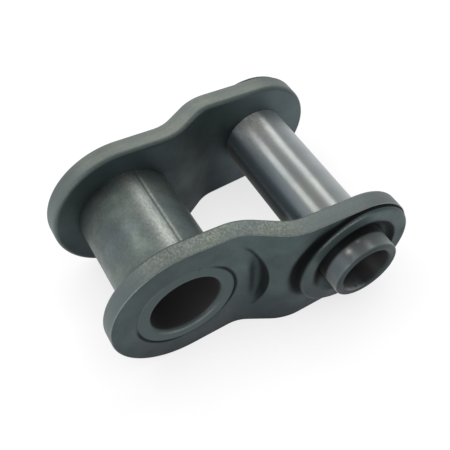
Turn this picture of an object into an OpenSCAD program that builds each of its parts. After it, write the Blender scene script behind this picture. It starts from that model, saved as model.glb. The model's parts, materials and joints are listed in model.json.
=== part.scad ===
// Offset link for a rollerless hollow-pin bushing chain: two cranked plates,
// a curled bushing in the narrow end and a hollow pin in the wide end.
// The origin is the middle of the bushing, +X runs to the pin, +Y along both axes.

/* [Chain] */
// Pitch, from the bushing axis to the pin axis
pitch = 19.05; // [17:0.05:24]
// Clear width between the plates at the bushing
inside_w = 12.9; // [8:0.1:20]
// Radius of the neighbouring plates' rounded ends
neighbour_r = 8.85; // [8:0.05:9.3]

/* [Plates] */
// Thickness of each pressed plate
plate_t = 2.2; // [1.6:0.05:3]
// Radius of the plate's rounded end at the bushing
bush_end_r = 8.65; // [8:0.05:10]
// Radius of the plate's rounded end at the pin
pin_end_r = 7.35; // [7:0.05:9]
// Side clearance between the wide end and a neighbour's narrow end
side_gap = 0.6; // [0.3:0.05:1]
// Slope of the crank between the two flats, in degrees
crank_angle = 30; // [22:1:36]
// Inside radius of the crank's two bends
bend_r = 4.5; // [2:0.1:8]
// Distance of the crank's middle from mid-pitch, towards the bushing
crank_shift = 0.5; // [0:0.1:1]

/* [Reliefs] */
// Clearance between a relief's rim and the neighbour's rounded end
relief_gap = 0.2; // [0.1:0.05:0.5]
// Height of a relief's floor over the flat that it continues
relief_step = 0.5; // [0.1:0.05:0.5]

/* [Pin seat] */
// Margin between the coined disc and the plate's rounded end
disc_margin = 0.25; // [0.15:0.05:0.8]
// Height of the disc over the outer face of the plate
disc_h = 0.65; // [0.3:0.05:1]
// Rounding of the disc's rim
disc_round = 0.3; // [0.1:0.05:0.4]
// Width of the countersink round the pin
sink_w = 1.35; // [0.4:0.05:1.6]
// Depth of the countersink round the pin
sink_d = 1; // [0.4:0.05:1.5]
// Width of the groove beside the disc, on the crank's side
groove_w = 1; // [0.5:0.05:1.2]
// Depth of that groove at its deepest, under the outer face
groove_d = 0.65; // [0.2:0.05:0.8]
// Length along the link over which the groove runs out
groove_run = 5; // [4:0.5:6]

/* [Bushing] */
// Outside diameter of the bushing
bush_od = 11.5; // [10.6:0.05:12.5]
// Running clearance on radius between the bore and a neighbour's pin
run_gap = 0.1; // [0.03:0.01:0.2]
// Rounding of the bushing's outer end edges and of the plate holes
bush_edge = 0.25; // [0.1:0.05:0.5]
// Chamfer at the mouth of the bore
bore_edge = 0.5; // [0.1:0.05:0.6]
// Width of the seam where the curled strip closes
seam_w = 0.16; // [0.1:0.02:0.4]
// Depth of the seam's groove
seam_d = 0.14; // [0.1:0.02:0.4]
// Angle of the seam from the top of the bushing, towards the pin
seam_angle = 15.5; // [-180:0.5:180]

/* [Hollow pin] */
// Outside diameter of the pin
pin_od = 8; // [7.4:0.05:8.8]
// Bore through the pin
pin_bore = 6; // [5:0.05:6.6]
// Length of pin standing over the disc at each end
pin_stand = 2.2; // [1:0.1:4]
// Spread of the swaged pin ends, on radius
pin_flare = 0; // [0:0.02:0.3]
// Rounding of the pin's outer end edge
pin_round = 0.25; // [0.1:0.05:0.6]
// Chamfer at the mouth of the pin's bore
mouth_edge = 0.3; // [0.1:0.05:0.4]

/* [Hidden] */
$fn = 96;

plate_colour = "#4a5458";
bushing_colour = "#7c837e";
pin_colour = "#8b9196";

// Faces of the +Y plate, measured from the middle of the link
narrow_in = inside_w / 2;
narrow_out = narrow_in + plate_t;
wide_in = narrow_out + side_gap;
wide_out = wide_in + plate_t;
disc_face = wide_out + disc_h;
pin_half = disc_face + pin_stand;

// Crank: two equal bends with a straight ramp between them; wide bends turn less, to leave a ramp
crank_offset = wide_in - narrow_in;
mid_r = bend_r + plate_t / 2;
crank_turn = min(crank_angle, acos(1 - 0.98 * crank_offset / (2 * mid_r)));
ramp_l = (crank_offset - 2 * mid_r * (1 - cos(crank_turn))) / sin(crank_turn);
crank_run = 2 * mid_r * sin(crank_turn) + ramp_l * cos(crank_turn);
crank_start = pitch / 2 - crank_shift - crank_run / 2;
crank_end = crank_start + crank_run;

// Round fits and clearances
bush_r = bush_od / 2;
pin_r = pin_od / 2;
bush_bore_r = pin_r + run_gap;
relief_r = neighbour_r + relief_gap;
disc_r = pin_end_r - disc_margin;
plate_reach = max(bush_end_r, pin_end_r) + 1;

// Common tangent of the plate's two end circles, drawn just inside them so that they cross
tangent_inset = 0.01;
taper_sin = (bush_end_r - pin_end_r) / pitch;
taper_cos = sqrt(1 - taper_sin * taper_sin);
function side_point(x, end_r, side) =
    let (r = end_r - tangent_inset)
    [x + r * taper_sin, side * r * taper_cos];

// Points of a round stretch about a centre, between two angles
round_steps = 5;
function round_points(centre, r, from, to) = [
    for (i = [0 : round_steps])
        let (a = from + (to - from) * i / round_steps)
        centre + r * [cos(a), sin(a)]
];

// The same points at the other end of a part that is alike at both ends, in reverse order
function other_end(points) = [
    for (i = [len(points) - 1 : -1 : 0])
        [points[i].x, -points[i].y]
];

// Top view of a plate: narrow flat, bend, ramp, opposite bend, wide flat
module crank_profile() {
    near_bend = [crank_start, narrow_out + bend_r];
    far_bend = [crank_end, wide_in - bend_r];
    far_x = pitch + pin_end_r;
    polygon(concat(
        [[-bush_end_r, narrow_in]],
        round_points(near_bend, bend_r + plate_t, -90, crank_turn - 90),
        round_points(far_bend, bend_r, crank_turn + 90, 90),
        [[far_x, wide_in], [far_x, wide_out]],
        round_points(far_bend, bend_r + plate_t, 90, crank_turn + 90),
        round_points(near_bend, bend_r, crank_turn - 90, -90),
        [[-bush_end_r, narrow_out]]
    ));
}

// Solid of revolution about the Y axis at x, from a profile of radius and height
module turned(x) {
    translate([x, 0, 0]) rotate([-90, 0, 0]) rotate_extrude() children();
}

// Cylinder about the Y axis at x, between two heights
module round_bar(x, r, low, high) {
    translate([x, low, 0]) rotate([-90, 0, 0]) cylinder(r = r, h = high - low);
}

// Coined disc with a rounded rim, rooted in the plate
module pin_disc() {
    root = wide_in + plate_t / 2;
    shoulder = disc_face - disc_round;
    turned(pitch) {
        translate([0, root]) square([disc_r, shoulder - root]);
        translate([0, root]) square([disc_r - disc_round, disc_face - root]);
        translate([disc_r - disc_round, shoulder]) circle(r = disc_round);
    }
}

// Pocket for the neighbour's outer plate, on the ramp's outside
module outer_relief() {
    round_bar(0, relief_r, narrow_out + relief_step, disc_face + 1);
}

// Pocket for the neighbour's inner plate, on the ramp's inside
module inner_relief() {
    round_bar(pitch, relief_r, 0, wide_in - relief_step);
}

// Groove coined beside the disc, deepest towards the crank; its floor leans up along the link
module disc_groove() {
    groove_r = disc_r + groove_w;
    lean = atan(groove_d / groove_run);
    intersection() {
        difference() {
            round_bar(pitch, groove_r, wide_in, disc_face + 1);
            round_bar(pitch, disc_r, wide_in - 1, disc_face + 2);
        }
        translate([pitch - groove_r, wide_out - groove_d, -plate_reach]) rotate([0, 0, lean]) {
            translate([-1, 0, 0]) cube([groove_run + 2, plate_t, 2 * plate_reach]);
        }
    }
}

// Seat of the bushing, with its outer edge broken
module bushing_hole() {
    turned(0) polygon([
        [0, narrow_in - 1],
        [bush_r, narrow_in - 1],
        [bush_r, narrow_out - bush_edge],
        [bush_r + bush_edge, narrow_out],
        [bush_r + bush_edge, narrow_out + relief_step],
        [0, narrow_out + relief_step],
    ]);
}

// Seat of the pin, opening into a countersink at the disc's face
module pin_hole() {
    turned(pitch) polygon([
        [0, wide_in - 1],
        [pin_r, wide_in - 1],
        [pin_r, disc_face - sink_d],
        [pin_r + sink_w, disc_face],
        [pin_r + sink_w, disc_face + 1],
        [0, disc_face + 1],
    ]);
}

// Side view of a plate carried across its width: two round ends and tapering sides
module plate_blank() {
    round_bar(0, bush_end_r, 0, disc_face);
    round_bar(pitch, pin_end_r, 0, disc_face);
    rotate([-90, 0, 0]) linear_extrude(disc_face) polygon([
        side_point(0, bush_end_r, 1),
        side_point(pitch, pin_end_r, 1),
        side_point(pitch, pin_end_r, -1),
        side_point(0, bush_end_r, -1),
    ]);
}

// Cranked plate on the +Y side
module cranked_plate() {
    difference() {
        union() {
            intersection() {
                linear_extrude(2 * plate_reach, center = true) crank_profile();
                plate_blank();
            }
            pin_disc();
        }
        outer_relief();
        inner_relief();
        disc_groove();
        bushing_hole();
        pin_hole();
    }
}

module front_plate() {
    color(plate_colour) mirror([0, 1, 0]) cranked_plate();
}

module rear_plate() {
    color(plate_colour) cranked_plate();
}

// Tube about the Y axis at x, from the section of its +Y end
module tube(x, end_section) {
    turned(x) polygon(concat(end_section, other_end(end_section)));
}

// Curled bushing, flush with the outer faces, with its closing seam
module bushing() {
    edge_centre = [bush_r - bush_edge, narrow_out - bush_edge];
    color(bushing_colour) difference() {
        tube(0, concat(
            round_points(edge_centre, bush_edge, 0, 90),
            [[bush_bore_r + bore_edge, narrow_out], [bush_bore_r, narrow_out - bore_edge]]
        ));
        rotate([0, seam_angle, 0]) translate([0, 0, bush_r]) rotate([90, 0, 0]) {
            linear_extrude(2 * narrow_out + 1, center = true) polygon([
                [0, -seam_d],
                [seam_w, seam_d],
                [-seam_w, seam_d],
            ]);
        }
    }
}

// Hollow pin, pressed through both plates, with swaged ends standing out of them
module hollow_pin() {
    bore_r = pin_bore / 2;
    edge_centre = [pin_r + pin_flare - pin_round, pin_half - pin_round];
    color(pin_colour) tube(pitch, concat(
        [[pin_r, disc_face - sink_d]],
        round_points(edge_centre, pin_round, 0, 90),
        [[bore_r + mouth_edge, pin_half], [bore_r, pin_half - mouth_edge]]
    ));
}

front_plate();
rear_plate();
bushing();
hollow_pin();
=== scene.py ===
"""Looks of an offset link: cranked plates, a curled bushing and a hollow pin, on a pale floor.

The frame's axes hold here too: the origin is the middle of the bushing, +X runs to the pin,
+Y along both axes to the rear plate, and +Z up. Shapes are worked out in millimetres.
"""

import json
import logging
import math
from dataclasses import dataclass, field
from enum import Enum

import bmesh
import bpy
import numpy as np
from mathutils import Matrix, Vector

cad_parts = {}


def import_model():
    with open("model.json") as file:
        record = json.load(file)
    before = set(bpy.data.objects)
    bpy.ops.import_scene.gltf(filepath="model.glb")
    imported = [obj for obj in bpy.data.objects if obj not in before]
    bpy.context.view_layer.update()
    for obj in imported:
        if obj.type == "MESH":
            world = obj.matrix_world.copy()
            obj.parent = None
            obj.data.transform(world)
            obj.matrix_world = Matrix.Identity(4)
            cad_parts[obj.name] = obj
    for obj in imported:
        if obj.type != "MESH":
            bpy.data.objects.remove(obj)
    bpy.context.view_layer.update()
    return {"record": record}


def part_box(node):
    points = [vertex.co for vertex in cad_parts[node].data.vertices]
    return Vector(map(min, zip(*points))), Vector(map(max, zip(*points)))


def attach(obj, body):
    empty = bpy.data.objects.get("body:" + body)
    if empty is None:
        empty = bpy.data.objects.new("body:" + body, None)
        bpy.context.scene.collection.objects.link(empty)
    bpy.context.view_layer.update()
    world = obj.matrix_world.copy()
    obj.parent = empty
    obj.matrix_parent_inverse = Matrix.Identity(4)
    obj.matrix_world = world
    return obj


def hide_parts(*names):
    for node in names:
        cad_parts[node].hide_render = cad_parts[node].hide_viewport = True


LOG = logging.getLogger("offset_link")
MM = 0.001
QUARTER = math.pi / 2
WELD_STEPS = 5000
SHARP_ANGLE = math.radians(50)
Colour = tuple[float, float, float]
Array = np.ndarray
Socket = bpy.types.NodeSocket


class Mask(Enum):
    """Values that a mesh carries at its points for its finish, and for its painted highlights, reflections
    and shade.
    """

    RIM = "rim"
    # Wear on the plates' edges, and painted highlights and glints elsewhere
    EDGE = "edge"
    # Painted shade in the bores
    BORE_SHADE = "bore"
    DEPTH = "depth"
    # Painted shade in seats, grooves, pockets, folds, countersinks and beside the plates
    PAINTED_SHADE = "grime"
    END = "end"
    GRAIN = "grain"
    # Painted light: pale light on inner faces and bluish reflections
    TINT = "tint"


class Side(Enum):
    """The two plates, by the sign of Y."""

    FRONT = -1
    REAR = 1


@dataclass(frozen=True)
class LinkSizes:
    """Sizes of the link in millimetres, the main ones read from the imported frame."""

    pitch: float
    narrow_in: float
    narrow_out: float
    disc_face: float
    bush_end_r: float
    pin_end_r: float
    bush_r: float
    bush_bore_r: float
    pin_r: float
    pin_bore_r: float
    pin_half: float
    side_gap: float = 0.6
    crank_angle: float = math.radians(30)
    bend_r: float = 4.5
    crank_shift: float = 0.5
    relief_r: float = 9.05
    relief_step: float = 0.5
    disc_margin: float = 0.25
    disc_round: float = 0.3
    sink_w: float = 1.35
    sink_d: float = 1.0
    groove_w: float = 1.0
    groove_d: float = 0.65
    groove_run: float = 5.0
    bore_edge: float = 0.5
    seam_angle: float = math.radians(15.5)
    pin_round: float = 0.25
    mouth_edge: float = 0.3

    @classmethod
    def from_frame(cls, record: dict) -> "LinkSizes":
        """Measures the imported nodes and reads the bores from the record.

        Args:
            record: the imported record.

        Returns:
            The sizes of the link.
        """
        mounts = {mount["name"]: mount for mount in record["mounts"]}
        plate_low, plate_high = (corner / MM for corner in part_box("rear_plate"))
        bush_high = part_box("bushing")[1] / MM
        pin_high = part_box("hollow_pin")[1] / MM
        pitch = mounts["pin_bore"]["pos_m"][0] / MM
        return cls(
            pitch=pitch,
            narrow_in=plate_low.y,
            narrow_out=bush_high.y,
            disc_face=plate_high.y,
            bush_end_r=-plate_low.x,
            pin_end_r=plate_high.x - pitch,
            bush_r=bush_high.z,
            bush_bore_r=mounts["bushing_bore"]["dims"]["r_mm"],
            pin_r=pin_high.z,
            pin_bore_r=mounts["pin_bore"]["dims"]["r_mm"],
            pin_half=pin_high.y,
        )

    @property
    def plate_t(self) -> float:
        """Thickness of a plate."""
        return self.narrow_out - self.narrow_in

    @property
    def wide_in(self) -> float:
        """Height of a plate's inner face at the pin."""
        return self.narrow_out + self.side_gap

    @property
    def wide_out(self) -> float:
        """Height of a plate's outer face at the pin."""
        return self.wide_in + self.plate_t

    @property
    def crank_run(self) -> float:
        """Length of the crank along X."""
        mid_r = self.bend_r + self.plate_t / 2
        rise = self.wide_in - self.narrow_in - 2 * mid_r * (1 - math.cos(self.crank_angle))
        ramp = rise / math.tan(self.crank_angle)
        return 2 * mid_r * math.sin(self.crank_angle) + ramp

    @property
    def crank_start(self) -> float:
        """Where the first bend leaves the narrow flat."""
        return self.pitch / 2 - self.crank_shift - self.crank_run / 2

    @property
    def crank_end(self) -> float:
        """Where the second bend meets the wide flat."""
        return self.crank_start + self.crank_run

    @property
    def disc_r(self) -> float:
        """Radius of the coined disc round the pin."""
        return self.pin_end_r - self.disc_margin

    @property
    def taper_sin(self) -> float:
        """Sine of the slope of a plate's sides."""
        return (self.bush_end_r - self.pin_end_r) / self.pitch


@dataclass
class Patch:
    """Grid of points, rows by columns, with its masks and whether its columns close to a ring."""

    points: Array
    ring: bool
    masks: dict[Mask, Array] = field(default_factory=dict)

    def quads(self) -> Array:
        """Corner numbers of the quads between neighbouring rows and columns."""
        rows, columns = self.points.shape[:2]
        number = np.arange(rows * columns).reshape(rows, columns)
        if self.ring:
            number = np.concatenate([number, number[:, :1]], axis=1)
        corners = (number[:-1, :-1], number[:-1, 1:], number[1:, 1:], number[1:, :-1])
        return np.stack([corner.ravel() for corner in corners], axis=1)

    def mask(self, mask: Mask) -> Array:
        """One mask over the grid, zero where the patch has none."""
        grid = self.points.shape[:2]
        return np.broadcast_to(self.masks.get(mask, np.zeros(1)), grid).ravel()


def smooth_step(t: Array) -> Array:
    """Cubic from 0 at t = 0 to 1 at t = 1, level at both ends: 3 t squared less 2 t cubed."""
    t = np.clip(t, 0, 1)
    return t * t * (3 - 2 * t)


def lobe(turn: Array, middle: float, reach: float, fade: float) -> Array:
    """One within reach of an angle, and 0 after a cubic fall beyond it; all in degrees."""
    away = np.abs((turn - middle + 180) % 360 - 180)
    return 1 - smooth_step((away - reach) / fade)


def seat_shade(turn: Array) -> Array:
    """Share of painted shade in the bushing's seat, by the angle in degrees from +X upwards."""
    return np.maximum(lobe(turn, 8, 30, 30), lobe(turn, -139, 22, 25))


def between(start: float, end: float, count: int) -> Array:
    """Even steps from start to end, without the start itself."""
    return np.linspace(start, end, count + 1)[1:]


def weld_and_make(name: str, patches: list[Patch], flip_y: bool = False) -> bpy.types.Object:
    """Joins patches into one closed mesh object, welding the points that they share.

    Args:
        name: name of the object and its mesh.
        patches: the grids, in millimetres, that close to one surface.
        flip_y: whether the shape is mirrored in Y.

    Returns:
        The object, at the origin, with smooth faces that point outwards.
    """
    points = np.concatenate([patch.points.reshape(-1, 3) for patch in patches])
    starts = np.cumsum([0] + [patch.points.shape[0] * patch.points.shape[1] for patch in patches])
    quads = np.concatenate([patch.quads() + start for patch, start in zip(patches, starts)])
    grid = np.round(points * WELD_STEPS).astype(np.int64)
    _, first, number = np.unique(grid, axis=0, return_index=True, return_inverse=True)
    quads = number.ravel()[quads]
    points = points[first] * (1, -1 if flip_y else 1, 1) * MM
    mesh = bpy.data.meshes.new(name)
    mesh.from_pydata(points.tolist(), [], quads.tolist())
    for mask in Mask:
        values = np.concatenate([patch.mask(mask) for patch in patches])[first]
        layer = mesh.attributes.new(mask.value, "FLOAT", "POINT")
        layer.data.foreach_set("value", values.astype(np.float32))
    work = bmesh.new()
    work.from_mesh(mesh)
    bmesh.ops.recalc_face_normals(work, faces=work.faces)
    loose = sum(1 for edge in work.edges if len(edge.link_faces) != 2)
    work.to_mesh(mesh)
    work.free()
    mesh.shade_smooth()
    mesh.set_sharp_from_angle(angle=SHARP_ANGLE)
    made = bpy.data.objects.new(name, mesh)
    bpy.context.scene.collection.objects.link(made)
    LOG.info("%s: %d quads, %d open edges", name, len(quads), loose)
    return made


@dataclass
class HalfOutline:
    """Half of a plate seen from the side, round one hole, cut at mid-pitch.

    Points are (along, up) from the hole's axis, along being the way to the other hole. The outline
    runs from the upper end of the cut down the straight side, round the end circle and back to
    the lower end of the cut; the cut then closes it.
    """

    end_r: float
    half_pitch: float
    lean: float
    rim_columns: int = 220
    cut_columns: int = 90

    def rim(self) -> tuple[Array, Array]:
        """Points of the outline at even steps, and its outward normals.

        A step's distance from the nearer end of the outline gives a point on the straight side,
        which is a tangent of the end circle, or past the tangent point on the circle itself.

        Returns:
            Points and normals, each columns by 2.
        """
        rise = math.sqrt(1 - self.lean**2)
        normal = np.array([self.lean, rise])
        corner = np.array([self.half_pitch, (self.end_r - self.half_pitch * self.lean) / rise])
        touch = self.end_r * normal
        straight = float(np.linalg.norm(corner - touch))
        start_angle = math.atan2(rise, self.lean)
        total = 2 * straight + 2 * self.end_r * (math.pi - start_angle)
        step = np.linspace(0, total, self.rim_columns + 1)
        near = np.minimum(step, total - step)
        upper = np.where(step <= total / 2, 1.0, -1.0)
        angle = start_angle + np.maximum(near - straight, 0) / self.end_r
        circle = np.stack([np.cos(angle), np.sin(angle)], axis=1)
        share = np.minimum(near / straight, 1)[:, None]
        side = corner + (touch - corner) * share
        on_side = (near < straight)[:, None]
        flip = np.stack([np.ones_like(upper), upper], axis=1)
        points = np.where(on_side, side, self.end_r * circle) * flip
        normals = np.where(on_side, normal, circle) * flip
        return points, normals

    def border(self, inset: float) -> tuple[Array, Array]:
        """The closed border of a face that ends at a distance from the rim.

        Args:
            inset: distance of the face's border from the rim.

        Returns:
            Polar angle and radius of each border point about the hole's axis.
        """
        points, normals = self.rim()
        inner = points - inset * normals
        share = np.linspace(0, 1, self.cut_columns + 1)[1:-1, None]
        cut = inner[-1] + (inner[0] - inner[-1]) * share
        loop = np.concatenate([inner, cut])
        return np.arctan2(loop[:, 1], loop[:, 0]), np.hypot(loop[:, 0], loop[:, 1])


@dataclass
class CrankedPlate:
    """Stamped side plate with a cranked waist, a bushing hole, and a coined disc round the pin hole."""

    node: str
    side: Side
    sizes: LinkSizes
    outer_round: float = 0.12
    inner_round: float = 0.5
    wall_w: float = 0.12
    inner_wall_w: float = 3.2
    cove_r: float = 0.08
    sink_lip: float = 0.15
    seat_edge: float = 0.1
    seat_gap: float = 0.03
    pocket_lean: float = 0.055
    fold_soft: float = 0.3
    wall_sector: float = 50
    wall_fade: float = 26
    wall_margin: float = 0.3
    groove_soft: float = 0.45
    groove_fill: float = 0.9
    groove_fade: float = 32

    def profile(self, x: Array, low: float, high: float, near_r: float, far_r: float) -> Array:
        """Height of one face along the crank: flat, arc, slope, opposite arc, flat.

        Args:
            x: places along the link.
            low: height of the narrow flat.
            high: height of the wide flat.
            near_r: radius of the face in the first bend.
            far_r: radius of the face in the second bend.

        Returns:
            Heights at x.
        """
        size = self.sizes
        sine = math.sin(size.crank_angle)
        run_in = x - size.crank_start
        run_out = size.crank_end - x
        near = low + near_r - np.sqrt(near_r**2 - np.clip(run_in, 0, near_r * sine) ** 2)
        far = high - far_r + np.sqrt(far_r**2 - np.clip(run_out, 0, far_r * sine) ** 2)
        slope = np.maximum(run_in - near_r * sine, 0) * math.tan(size.crank_angle)
        return np.where(run_out < far_r * sine, far, near + slope)

    def outer(self, x: Array, z: Array) -> Array:
        """Height of the outer face: the crank with a flat pocket round the bushing, and the disc's groove.

        Args:
            x: places along the link.
            z: places across the plate.

        Returns:
            Heights, rising by a cubic over the pocket's steep wall, less the groove's depth.
        """
        size = self.sizes
        high = self.profile(x, size.narrow_out, size.wide_out, size.bend_r, size.bend_r + size.plate_t)
        floor = np.minimum(high, size.narrow_out + size.relief_step - self.pocket_lean * z)
        wall = smooth_step((np.hypot(x, z) - size.relief_r) / self.wall_w + 1)
        return self.grooved(floor + (high - floor) * wall, x, z)

    def grooved(self, face: Array, x: Array, z: Array) -> Array:
        """Sinks a face to the groove beside the disc.

        The groove's floor is a plane that leans up along the link; a cubic of the distance from
        the disc rounds the groove's far shoulder, and a cubic of the angle fills its lower end.

        Args:
            face: heights of the plain face.
            x: places along the link.
            z: places across the plate.

        Returns:
            Heights with the groove.
        """
        size = self.sizes
        groove_r = size.disc_r + size.groove_w
        start = size.pitch - groove_r
        floor = size.wide_out - size.groove_d + (x - start) * size.groove_d / size.groove_run
        away = np.hypot(x - size.pitch, z) - groove_r
        share = smooth_step((self.groove_soft - away) / ((1 + self.groove_soft) * size.groove_w))
        turn = np.degrees(np.arctan2(z, size.pitch - x))
        shallow = 1 - self.groove_fill * smooth_step((-turn - 2) / self.groove_fade)
        return face - np.maximum(face - floor, 0) * share * shallow

    def inner(self, x: Array, z: Array) -> Array:
        """Height of the inner face: the crank, raised to a shallow pocket round the pin's axis.

        Args:
            x: places along the link.
            z: places across the plate.

        Returns:
            Heights, falling by a cubic over the pocket's soft wall; a hyperbola rounds the fold
            where the bend meets the pocket's flat.
        """
        size = self.sizes
        low = self.profile(x, size.narrow_in, size.wide_in, size.bend_r + size.plate_t, size.bend_r)
        flat = size.wide_in - size.relief_step
        fold = 0.5 * (low + flat + np.hypot(low - flat, self.fold_soft))
        roof = low + (fold - low) * smooth_step((size.wide_in - low) / (0.9 * size.relief_step))
        wall = smooth_step((np.hypot(x - size.pitch, z) - size.relief_r) / self.inner_wall_w + 1)
        return roof + (low - roof) * wall

    def pocket_wall(self, angle: Array, border_r: Array, inner_r: float) -> Array:
        """Radius of the grid rows that follow a pocket's wall.

        The rows keep to the pocket's radius in the sector that holds its wall, and run midway
        between hole and border where the wall has died out.

        Args:
            angle: polar angle of each column.
            border_r: radius of the face's border in each column.
            inner_r: radius where the rows start.

        Returns:
            Radius of the wall rows in each column.
        """
        turn = np.degrees(np.abs(angle))
        away = smooth_step((turn - self.wall_sector) / self.wall_fade)
        wall_r = self.sizes.relief_r + (0.5 * (inner_r + border_r) - self.sizes.relief_r) * away
        return np.minimum(wall_r, border_r - self.wall_margin)

    def place(self, centre: float, way: int, radius: Array, angle: Array) -> tuple[Array, Array]:
        """Turns polar grids about a hole into places along and across the link.

        Args:
            centre: place of the hole's axis.
            way: +1 where the other hole lies at greater x, and otherwise -1.
            radius: rows by columns.
            angle: one per column.

        Returns:
            x and z, rows by columns.
        """
        return centre + way * radius * np.cos(angle), radius * np.sin(angle)

    def rows(self, border_r: Array, steps: list) -> Array:
        """Stacks row radii, each a number or one value per column, into a grid."""
        return np.stack([np.broadcast_to(step, border_r.shape) for step in steps])

    def bushing_outer(self, half: HalfOutline) -> Patch:
        """Outer face round the bushing hole, from the hole's broken edge to the border.

        The hole's edge is a quarter circle at the narrow flat's height, with a step up to the face
        where the crank has begun to rise; the rows then run out to the pocket's wall, up that wall
        and on to the border, all at the face's height.

        Args:
            half: outline round the bushing hole.

        Returns:
            The face from the hole to the border.
        """
        size = self.sizes
        angle, border_r = half.border(self.outer_round)
        edge = np.linspace(0, QUARTER, 7)
        rows, floor_rows, wall_rows = len(edge), 14, 8
        face_r = size.bush_r + self.seat_edge + self.seat_gap
        wall_r = self.pocket_wall(angle, border_r, face_r)
        steps = [*(size.bush_r + self.seat_edge * (1 - np.cos(edge))), face_r]
        steps += [face_r + (wall_r - self.wall_w - face_r) * t**1.5 for t in between(0, 1, floor_rows)]
        steps += [wall_r - self.wall_w * (1 - t) for t in between(0, 1, wall_rows)]
        steps += [wall_r + (border_r - wall_r) * t for t in between(0, 1, 9)]
        radius = self.rows(border_r, steps)
        x, z = self.place(0, 1, radius, angle)
        y = self.outer(x, z)
        y[:rows] = (size.narrow_out - self.seat_edge * (1 - np.sin(edge)))[:, None]
        foot = rows + floor_rows
        height = np.clip((y[foot + wall_rows] - y[foot]) / 0.3, 0, 1)
        # Painted shade in the seat's gap by the angle, and on the pocket's wall and in its fold
        shade = seat_shade(np.degrees(angle)) * (1 - smooth_step((radius - size.bush_r - 0.14) / 0.2))
        grime = np.maximum(self.pocket_shade(x, z, wall_r - radius) * height, 0.9 * shade)
        return Patch(np.stack([x, y, z], axis=2), True, {Mask.PAINTED_SHADE: grime})

    def pocket_shade(self, x: Array, z: Array, inside: Array) -> Array:
        """Painted shade on the pocket's wall and in the fold where its floor leaves the bend.

        It falls exponentially from the wall inwards, is a bell curve across the fold, and thins out
        towards the lower side of the plate.

        Args:
            x: places along the link.
            z: places across the plate.
            inside: distance inside the top of the wall.

        Returns:
            Mask from 0 to 1.
        """
        size = self.sizes
        fold_x = size.crank_start + math.sqrt(size.bend_r**2 - (size.bend_r - size.relief_step) ** 2)
        reach = 0.15 + 0.3 * smooth_step((2.5 - z) / 4)
        wall = 0.75 * np.exp(-np.maximum(inside - self.wall_w, 0) / reach) * smooth_step((z + 4.2) / 2.4)
        fold = 0.85 * np.exp(-(((x - fold_x - 0.4) / 0.4) ** 2)) * smooth_step((4.4 - np.abs(z - 0.4)) / 3)
        return np.where(inside > -0.01, np.maximum(wall, fold), 0)

    def bushing_inner(self, half: HalfOutline) -> Patch:
        """Inner face round the bushing hole, in even rows at the face's height."""
        size = self.sizes
        angle, border_r = half.border(self.inner_round)
        steps = [size.bush_r + (border_r - size.bush_r) * t for t in np.linspace(0, 1, 18)]
        x, z = self.place(0, 1, self.rows(border_r, steps), angle)
        # Painted shade and painted pale light on the inner face
        masks = {Mask.PAINTED_SHADE: self.inner_shade(x), Mask.TINT: self.painted_pale_light(x, z)}
        return Patch(np.stack([x, self.inner(x, z), z], axis=2), True, masks)

    def pin_outer(self, half: HalfOutline) -> Patch:
        """Outer face round the pin hole: countersink, disc, its rounded rim, wall and cove, flat.

        The section is a cone with a rounded lip, a flat, a quarter circle, a straight wall down to
        the plate, and a hollow quarter circle at its foot; it is the same all round, apart from
        the foot, which follows the plate's own height.

        Args:
            half: outline round the pin hole.

        Returns:
            The face from the hole to the border.
        """
        size = self.sizes
        angle, border_r = half.border(self.outer_round)
        lip_r = size.pin_r + size.sink_w
        turn = np.linspace(0, QUARTER, 7)
        cone = np.linspace(0, 1, 6)
        lip = between(0, 1, 4)
        rim_r = size.disc_r - size.disc_round
        foot_r = size.disc_r + self.cove_r
        flat = between(lip_r + self.sink_lip, rim_r, 6)
        steps = [*(size.pin_r + (size.sink_w - self.sink_lip) * cone)]
        steps += [*(lip_r + self.sink_lip * (2 * lip - 1))]
        steps += [*flat]
        steps += [*(rim_r + size.disc_round * np.sin(turn[1:]))]
        steps += [size.disc_r, size.disc_r]
        steps += [*(size.disc_r + self.cove_r * (1 - np.cos(turn)))]
        fixed = len(steps)
        steps += [foot_r + (border_r - foot_r) * t for t in between(0, 1, 30)]
        radius = self.rows(border_r, steps)
        x, z = self.place(size.pitch, -1, radius, angle)
        base = self.outer(x, z)
        lip_depth = size.sink_d * self.sink_lip / size.sink_w
        drop = np.concatenate([
            size.sink_d - (size.sink_d - lip_depth) * cone,
            lip_depth * (1 - lip) ** 2,
            np.zeros(len(flat)),
            size.disc_round * (1 - np.cos(turn[1:])),
        ])
        y = base.copy()
        count = len(drop)
        y[:count] = size.disc_face - drop[:, None]
        shoulder = size.disc_face - size.disc_round
        foot = base[count] + self.cove_r
        y[count] = shoulder + (foot - shoulder) / 3
        y[count + 1] = shoulder + (foot - shoulder) * 2 / 3
        y[count + 2 : fixed] = base[count + 2 : fixed] + (self.cove_r * (1 - np.sin(turn)))[:, None]
        sink_rows = len(cone) + len(lip)
        masks = self.disc_masks(radius, np.degrees(angle), sink_rows, count - len(turn) + 1, count)
        return Patch(np.stack([x, y, z], axis=2), True, masks)

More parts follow.
